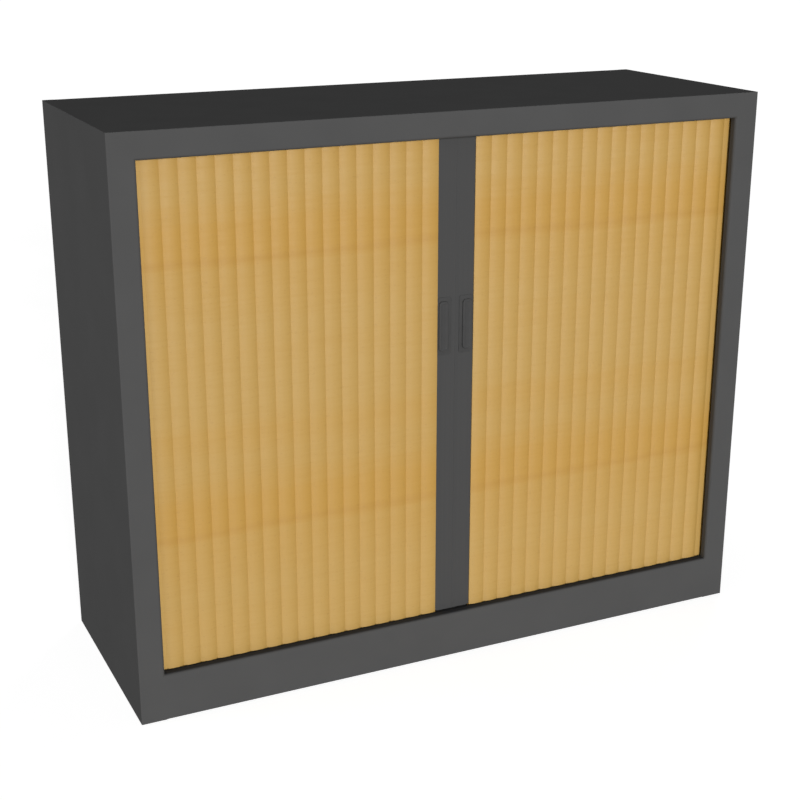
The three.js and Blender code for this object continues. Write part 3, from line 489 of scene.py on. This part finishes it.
class SlatSection:
    """The section of a slat, with its bead at the origin and its socket one pitch further on.
    The face stands out above the line through both."""

    def __init__(self, sizes):
        self.sizes = sizes
        self.bore = sizes.bead_radius + sizes.play
        self.socket = self.bore + sizes.socket_wall
        self.half_line = sizes.open_line / 2
        half_face = sizes.pitch / 2 - self.half_line
        # The underside is one arc, and runs a wall's thickness under the arc through the
        # middle and both edges of the face
        radius = (half_face ** 2 + sizes.crown ** 2) / (2 * sizes.crown)
        self.under = radius - sizes.wall
        drop = math.sqrt(radius ** 2 - half_face ** 2)
        self.edge = drop - math.sqrt(self.under ** 2 - half_face ** 2)
        # The face has a straight flank, an arc and a flat, and the same back down
        rise, half_rise = math.tan(sizes.flank_angle), math.tan(sizes.flank_angle / 2)
        beside_flat = half_face - sizes.flat / 2
        self.flank = (sizes.crown - beside_flat * half_rise) / (rise - half_rise)
        self.flank_rise = self.flank * rise
        self.radius = (beside_flat - self.flank) / math.sin(sizes.flank_angle)
        self.valley = self.socket + sizes.face_gap + self.edge
        self.crown = self.valley + sizes.crown
        self.centre = (sizes.pitch / 2, self.valley - drop)

    def under_at(self, across):
        """Where on the underside's circle a point across the slat is"""
        return QUARTER_TURN - math.asin((across - self.centre[0]) / self.under)

    def neck_root(self, offset):
        """Where an edge of the bead's neck meets the underside of the face"""
        slope = self.sizes.neck_angle
        along = Vector((math.cos(slope), math.sin(slope)))
        start = Vector((along.y, -along.x)) * offset
        away = start - Vector(self.centre)
        half = away.dot(along)
        past = half ** 2 - away.length_squared + self.under ** 2
        return start + along * (-half + math.sqrt(past))

    def draw(self, bm, turn):
        """Draws the face, the socket, the underside and the bead on its neck, and closes them.
        The face of a slat that is turned reaches back over the joint, to the slat before it."""
        sizes = self.sizes
        joint = (sizes.pitch, 0)
        half_neck = sizes.neck_width / 2
        # The socket's mouth leaves the neck room to turn by the bend of the track's corner
        bend = 2 * math.asin(sizes.pitch / 2 / sizes.corner_radius)
        half_mouth = math.asin(half_neck / self.bore) + sizes.play / self.bore
        half_bead = math.asin(half_neck / sizes.bead_radius)
        socket_top = math.acos(-self.half_line / self.socket)
        mouth_top = sizes.neck_angle + half_mouth
        mouth_bottom = sizes.neck_angle - bend - half_mouth + FULL_TURN
        web_root = self.under_at(sizes.pitch - sizes.web_reach)
        lower_root = self.neck_root(half_neck)
        upper_root = self.neck_root(-half_neck)
        count = sizes.round_steps
        half_face_count = sizes.face_steps // 2
        flat_start, flat_end = (sizes.pitch - sizes.flat) / 2, (sizes.pitch + sizes.flat) / 2
        arc_centre_height = self.crown - self.radius

        first = pen = bm.verts.new((self.half_line - self.valley * math.sin(turn),
                                    self.valley * math.cos(turn), 0))
        pen = line_to(bm, pen, self.half_line + self.flank, self.valley + self.flank_rise)
        pen = arc_to(bm, pen, (flat_start, arc_centre_height), -sizes.flank_angle,
                     half_face_count)
        pen = line_to(bm, pen, flat_end, self.crown)
        pen = arc_to(bm, pen, (flat_end, arc_centre_height), -sizes.flank_angle,
                     half_face_count)
        pen = line_to(bm, pen, sizes.pitch - self.half_line, self.valley)
        pen = line_to(bm, pen, *on_circle(joint, self.socket, socket_top))
        pen = arc_to(bm, pen, joint, mouth_top - socket_top, count // 4)
        pen = line_to(bm, pen, *on_circle(joint, self.bore, mouth_top))
        pen = arc_to(bm, pen, joint, mouth_bottom - mouth_top, count)
        pen = line_to(bm, pen, *on_circle(joint, self.socket, mouth_bottom))
        pen = arc_to(bm, pen, joint, sizes.web_angle - mouth_bottom, count // 2)
        pen = line_to(bm, pen, *on_circle(self.centre, self.under, web_root))
        pen = arc_to(bm, pen, self.centre, self.under_at(lower_root.x) - web_root,
                     half_face_count)
        pen = line_to(bm, pen, *on_circle((0, 0), sizes.bead_radius,
                                          sizes.neck_angle - half_bead))
        pen = arc_to(bm, pen, (0, 0), 2 * half_bead - FULL_TURN, count)
        pen = line_to(bm, pen, *upper_root)
        pen = line_to(bm, pen, self.half_line, self.valley - self.edge)
        bm.edges.new((pen, first))


class CUPBOARD_OT_slats(bpy.types.Operator):
    """Model the slats of both curtains"""

    bl_idname = "cupboard.slats"
    bl_label = "Slats"

    def execute(self, context):
        sizes = context.scene.cupboard_slats
        material = beech_film(context.scene.cupboard_finishes)
        section = SlatSection(sizes)
        low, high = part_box("right_slat_01")
        run_line = low.y + section.crown
        corner = Vector((sizes.corner_start, run_line + sizes.corner_radius))
        for label, side in SIDES.items():
            for number in range(SLATS_PER_CURTAIN):
                start = Vector((sizes.first_joint + number * sizes.pitch, run_line))
                end = self.next_joint(start, corner, sizes)
                step = end - start
                turn = math.atan2(step.y, step.x)
                bm = bmesh.new()
                section.draw(bm, turn)
                extrude_outline(bm, low.z, high.z)
                place = (Matrix.Translation((side * start.x, start.y, 0))
                         @ Matrix.Rotation(side * turn, 4, "Z")
                         @ Matrix.Diagonal((side, -1, 1, 1)))
                bmesh.ops.transform(bm, matrix=place, verts=bm.verts)
                node = f"{label}_slat_{number + 1:02}"
                piece = add_piece(f"{node}_extrusion", bm, material, f"{label}_curtain",
                                  node)
                # The slat on the corner is turned and so deeper, so its hold lies further along
                # its width.
                hold = start.lerp(end, sizes.turned_hold if turn else sizes.hold)
                self.stack(piece, label, (side * hold.x, hold.y), number, corner, sizes)
        return {"FINISHED"}

    @staticmethod
    def next_joint(start, corner, sizes):
        """The joint one pitch on from another, on the straight or already round the corner"""
        lead = corner.x - start.x
        if lead >= sizes.pitch:
            return start + Vector((sizes.pitch, 0))
        radius = sizes.corner_radius
        # A joint one pitch away has sine * sin(turn) - cosine * cos(turn) = rest
        sine, cosine = 2 * lead * radius, 2 * radius ** 2
        rest = sizes.pitch ** 2 - lead ** 2 - cosine
        turn = math.asin(rest / math.hypot(sine, cosine)) + math.atan2(cosine, sine)
        return corner + Vector((math.sin(turn), -math.cos(turn))) * radius

    @staticmethod
    def stack(piece, label, hold, number, corner, sizes):
        """Gives a slat its own copy of its mesh"""
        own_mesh(piece)


def rounded_block(bm, middle, width, height, low, high, corner, edge, sizes):
    """Draws out a rectangle with rounded corners and rounds its front edge. Gives its front."""
    others = set(bm.faces)
    # The grid's size is half its side, so it starts as one unit square
    place = Matrix.Translation((*middle, low)) @ Matrix.Diagonal((width, height, 1, 1))
    made = bmesh.ops.create_grid(bm, x_segments=1, y_segments=1, size=0.5, matrix=place)
    bmesh.ops.bevel(bm, geom=made["verts"], offset=corner, segments=sizes.corner_steps,
                    profile=0.5, affect="VERTICES", material=-1)
    outline = next(face for face in bm.faces if face not in others)
    made = bmesh.ops.extrude_face_region(bm, geom=[outline], use_keep_orig=True)
    bmesh.ops.translate(bm, verts=vertices_of(made), vec=(0, 0, high - low))
    front = next(item for item in made["geom"] if isinstance(item, bmesh.types.BMFace))
    bmesh.ops.bevel(bm, geom=front.edges[:], offset=edge, segments=sizes.edge_steps,
                    profile=0.5, affect="EDGES", material=-1)
    own = [face for face in bm.faces if face not in others]
    bmesh.ops.recalc_face_normals(bm, faces=own)
    return max(own, key=lambda face: face.calc_center_median().z)


def hollow_out(bm, front, sizes):
    """Insets a face in small steps, which go down in a soft slope to the depth of the hollow"""
    bmesh.ops.inset_region(bm, faces=[front], thickness=sizes.hollow_margin,
                           use_boundary=True, use_even_offset=True)
    count = sizes.hollow_steps
    depths = [sizes.hollow_depth * (1 - math.cos(math.pi * i / count)) / 2
              for i in range(count + 1)]
    for before, after in zip(depths, depths[1:]):
        bmesh.ops.inset_region(bm, faces=[front], thickness=sizes.hollow_slope / count,
                               depth=before - after, use_boundary=True, use_even_offset=True)


class CUPBOARD_OT_handles(bpy.types.Operator):
    """Model both handles"""

    bl_idname = "cupboard.handles"
    bl_label = "Handles"

    def execute(self, context):
        sizes = context.scene.cupboard_handles
        finishes = context.scene.cupboard_finishes
        material = moulded_plastic("spark_eroded_abs_handles", finishes.handle,
                                   finishes.handle_light, grain_mm=1.6)
        for label, side in SIDES.items():
            node = f"{label}_handle"
            low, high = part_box(node)
            width, height = high.x - low.x, high.z - low.z
            outer = max(abs(low.x), abs(high.x))
            bm = bmesh.new()
            rounded_block(bm, (outer - width / 2, 0), width, height, 0, sizes.plate_thickness,
                          sizes.plate_corner, sizes.plate_edge, sizes)
            grip_middle = outer - sizes.grip_inset - sizes.grip_width / 2
            front = rounded_block(bm, (grip_middle, 0), sizes.grip_width, sizes.grip_height,
                                  sizes.plate_thickness - sizes.grip_root, high.y - low.y,
                                  sizes.grip_corner, sizes.grip_edge, sizes)
            hollow_out(bm, front, sizes)
            # What is drawn flat stands up, and what is drawn out faces the front
            place = (Matrix.Translation((0, high.y, (low.z + high.z) / 2))
                     @ Matrix.Diagonal((side, 1, 1, 1))
                     @ Matrix.Rotation(QUARTER_TURN, 4, "X"))
            bmesh.ops.transform(bm, matrix=place, verts=bm.verts)
            add_piece(f"{node}_moulding", bm, material, f"{label}_curtain",
                      node)
        return {"FINISHED"}


class CUPBOARD_OT_feet(bpy.types.Operator):
    """Model the four levelling feet"""

    bl_idname = "cupboard.feet"
    bl_label = "Levelling feet"

    def execute(self, context):
        sizes = context.scene.cupboard_feet
        material = zinc_plated_steel(context.scene.cupboard_finishes)
        for node in FEET:
            low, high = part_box(node)
            bm = bmesh.new()
            self.draw_profile(bm, (high.x - low.x) / 2, low.z, high.z, sizes)
            # The profile stands up, and is turned round its axis
            bmesh.ops.rotate(bm, verts=bm.verts,
                             matrix=Matrix.Rotation(QUARTER_TURN, 3, "X"))
            bmesh.ops.spin(bm, geom=bm.verts[:] + bm.edges[:], axis=(0, 0, 1),
                           angle=FULL_TURN, steps=sizes.round_steps, use_merge=True)
            bmesh.ops.translate(bm, verts=bm.verts,
                                vec=((low.x + high.x) / 2, (low.y + high.y) / 2, 0))
            add_piece(f"{node}_turning", bm, material, f"{node}_body", node)
        return {"FINISHED"}

    @staticmethod
    def draw_profile(bm, radius, bottom, top, sizes):
        """Draws the disc, the collar and the threaded stud, out from the axis and back to it"""
        edge = sizes.glide_edge
        disc_top = bottom + sizes.glide_height
        collar_top = disc_top + sizes.collar_height
        root = sizes.stud_radius - sizes.thread_depth
        pen = bm.verts.new((0, bottom, 0))
        pen = line_to(bm, pen, radius - edge, bottom)
        pen = arc_to(bm, pen, (radius - edge, bottom + edge), QUARTER_TURN, sizes.edge_steps)
        pen = line_to(bm, pen, radius, disc_top - edge)
        pen = arc_to(bm, pen, (radius - edge, disc_top - edge), QUARTER_TURN, sizes.edge_steps)
        pen = line_to(bm, pen, sizes.collar_radius, disc_top)
        pen = line_to(bm, pen, sizes.collar_radius, collar_top - edge)
        pen = line_to(bm, pen, sizes.collar_radius - edge, collar_top)
        pen = line_to(bm, pen, root, collar_top)
        turns = int((top - collar_top) / sizes.thread_pitch)
        for turn in range(turns):
            foot = collar_top + turn * sizes.thread_pitch
            pen = line_to(bm, pen, sizes.stud_radius, foot + sizes.thread_pitch / 2)
            pen = line_to(bm, pen, root, foot + sizes.thread_pitch)
        pen = line_to(bm, pen, root, top)
        line_to(bm, pen, 0, top)


# From the plinth's front to where the painted shade on the ledge starts and ends
LEDGE_FRONT = 4 * MM
LEDGE_BACK = 30 * MM


class CUPBOARD_OT_carcass(bpy.types.Operator):
    """Finish the panels of the carcass"""

    bl_idname = "cupboard.carcass"
    bl_label = "Carcass"

    def execute(self, context):
        finishes = context.scene.cupboard_finishes
        finish_nodes(powder_coated_steel("powder_coated_steel_sheet", finishes),
                     OUTER_STEEL + INNER_STEEL)
        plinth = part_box("base_panel")[0].y
        ledge = plinth + LEDGE_FRONT, plinth + LEDGE_BACK
        # The base panel's coat carries painted shade on the ledge under the curtains
        finish_nodes(powder_coated_steel("powder_coated_steel_base_with_painted_shade", finishes, ledge),
                     ["base_panel"])
        return {"FINISHED"}


class CUPBOARD_OT_shelves(bpy.types.Operator):
    """Finish the shelves"""

    bl_idname = "cupboard.shelves"
    bl_label = "Shelves"

    def execute(self, context):
        finishes = context.scene.cupboard_finishes
        finish_nodes(powder_coated_steel("powder_coated_steel_shelves", finishes), SHELVES)
        return {"FINISHED"}


class CUPBOARD_OT_tracks(bpy.types.Operator):
    """Finish the tracks in which the slats run"""

    bl_idname = "cupboard.tracks"
    bl_label = "Tracks"

    def execute(self, context):
        finishes = context.scene.cupboard_finishes
        material = moulded_plastic("moulded_polyacetal_tracks", finishes.track,
                                   finishes.track_light, grain_mm=2.5)
        finish_nodes(material, [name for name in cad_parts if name.endswith("_track")])
        return {"FINISHED"}


class CUPBOARD_OT_lead_bars(bpy.types.Operator):
    """Finish the lead bars that meet in the middle"""

    bl_idname = "cupboard.lead_bars"
    bl_label = "Lead bars"

    def execute(self, context):
        material = coated_aluminium(context.scene.cupboard_finishes)
        finish_nodes(material, [f"{label}_lead_bar" for label in SIDES])
        return {"FINISHED"}


# The camera stands where the photograph was taken from. Each lamp has two angles, in degrees:
# the compass angle that its light comes from, clockwise from the front when seen from above,
# and its height over the floor.
CAMERA_PLACE = (-1.14073, -2.39743, 1.32002)
CAMERA_AZIMUTH = math.radians(25.145)
CAMERA_DIP = math.radians(18.496)
CAMERA_LENS = 66.54
CAMERA_SENSOR = 36
LAMPS = {"front": (10, 9), "left": (105, 5), "back": (225, 7)}
FLOOR_SIZE = 80


class CUPBOARD_OT_stage(bpy.types.Operator):
    """Set up the floor, the light and the camera"""

    bl_idname = "cupboard.stage"
    bl_label = "Stage"

    def execute(self, context):
        scene = context.scene
        studio = scene.cupboard_studio
        self.add_floor(scene, studio)
        for name, (compass, height) in LAMPS.items():
            self.add_lamp(scene, name, math.radians(compass), math.radians(height), studio)
        self.add_world(scene, studio)
        self.add_camera(scene)
        scene.view_settings.view_transform = "Standard"
        return {"FINISHED"}

    @staticmethod
    def add_floor(scene, studio):
        bm = bmesh.new()
        bmesh.ops.create_grid(bm, x_segments=1, y_segments=1, size=FLOOR_SIZE / 2)
        mesh = bpy.data.meshes.new("studio_floor")
        bm.to_mesh(mesh)
        bm.free()
        mesh.materials.append(pale_floor(scene.cupboard_finishes, studio.floor_glow))
        floor = bpy.data.objects.new("studio_floor", mesh)
        scene.collection.objects.link(floor)

    @staticmethod
    def add_lamp(scene, name, compass, height, studio):
        """A distant soft lamp. A matt surface that faces one of strength pi has its colour."""
        lamp = bpy.data.lights.new(f"{name}_lamp", "SUN")
        lamp.energy = getattr(studio, name) * math.pi
        lamp.angle = studio.softness
        holder = bpy.data.objects.new(lamp.name, lamp)
        towards = Vector((-math.sin(compass) * math.cos(height),
                          -math.cos(compass) * math.cos(height), math.sin(height)))
        holder.rotation_euler = towards.to_track_quat("Z", "Y").to_euler()
        scene.collection.objects.link(holder)

    @staticmethod
    def add_world(scene, studio):
        """Even light from all round, which is seen as white"""
        world = bpy.data.worlds.new("studio")
        world.use_nodes = True
        world.node_tree.nodes.clear()
        strength = add_node(world, "ShaderNodeMath", {
            0: seen_ray(world), 1: 1 - studio.world, 2: studio.world},
            operation="MULTIPLY_ADD")
        light = add_node(world, "ShaderNodeBackground", {
            "Color": (1, 1, 1, 1), "Strength": strength.outputs["Value"]})
        add_node(world, "ShaderNodeOutputWorld", {"Surface": light.outputs["Background"]})
        scene.world = world

    @staticmethod
    def add_camera(scene):
        lens = bpy.data.cameras.new("camera")
        lens.lens = CAMERA_LENS
        lens.sensor_width = CAMERA_SENSOR
        camera = bpy.data.objects.new("camera", lens)
        camera.location = CAMERA_PLACE
        camera.rotation_euler = (QUARTER_TURN - CAMERA_DIP, 0, -CAMERA_AZIMUTH)
        scene.collection.objects.link(camera)
        scene.camera = camera


# The add-on

GROUPS = {
    "cupboard_slats": SlatSizes,
    "cupboard_handles": HandleSizes,
    "cupboard_feet": FootSizes,
    "cupboard_finishes": Finishes,
    "cupboard_studio": StudioLight,
}
OPERATORS = (
    CUPBOARD_OT_carcass, CUPBOARD_OT_shelves, CUPBOARD_OT_tracks, CUPBOARD_OT_lead_bars,
    CUPBOARD_OT_slats, CUPBOARD_OT_handles, CUPBOARD_OT_feet, CUPBOARD_OT_stage,
)


class CUPBOARD_PT_sidebar(bpy.types.Panel):
    """Lists the cupboard's pieces, sizes and colours"""

    bl_label = "Tambour door cupboard"
    bl_space_type = "VIEW_3D"
    bl_region_type = "UI"
    bl_category = "Cupboard"

    def draw(self, context):
        for operator in OPERATORS:
            self.layout.operator(operator.bl_idname)
        for name, group in GROUPS.items():
            box = self.layout.box()
            box.label(text=group.__doc__)
            settings = getattr(context.scene, name)
            for key in group.__annotations__:
                box.prop(settings, key)


CLASSES = (*GROUPS.values(), *OPERATORS, CUPBOARD_PT_sidebar)


def register():
    for cls in CLASSES:
        bpy.utils.register_class(cls)
    for name, group in GROUPS.items():
        setattr(bpy.types.Scene, name, PointerProperty(type=group))


def unregister():
    for name in GROUPS:
        delattr(bpy.types.Scene, name)
    for cls in reversed(CLASSES):
        bpy.utils.unregister_class(cls)


def main():
    register()
    bpy.ops.cupboard.stage()
    bpy.ops.cupboard.carcass()
    bpy.ops.cupboard.shelves()
    bpy.ops.cupboard.tracks()
    bpy.ops.cupboard.lead_bars()
    bpy.ops.cupboard.slats()
    bpy.ops.cupboard.handles()
    bpy.ops.cupboard.feet()
    bpy.context.view_layer.update()


if __name__ == "__main__":
    main()
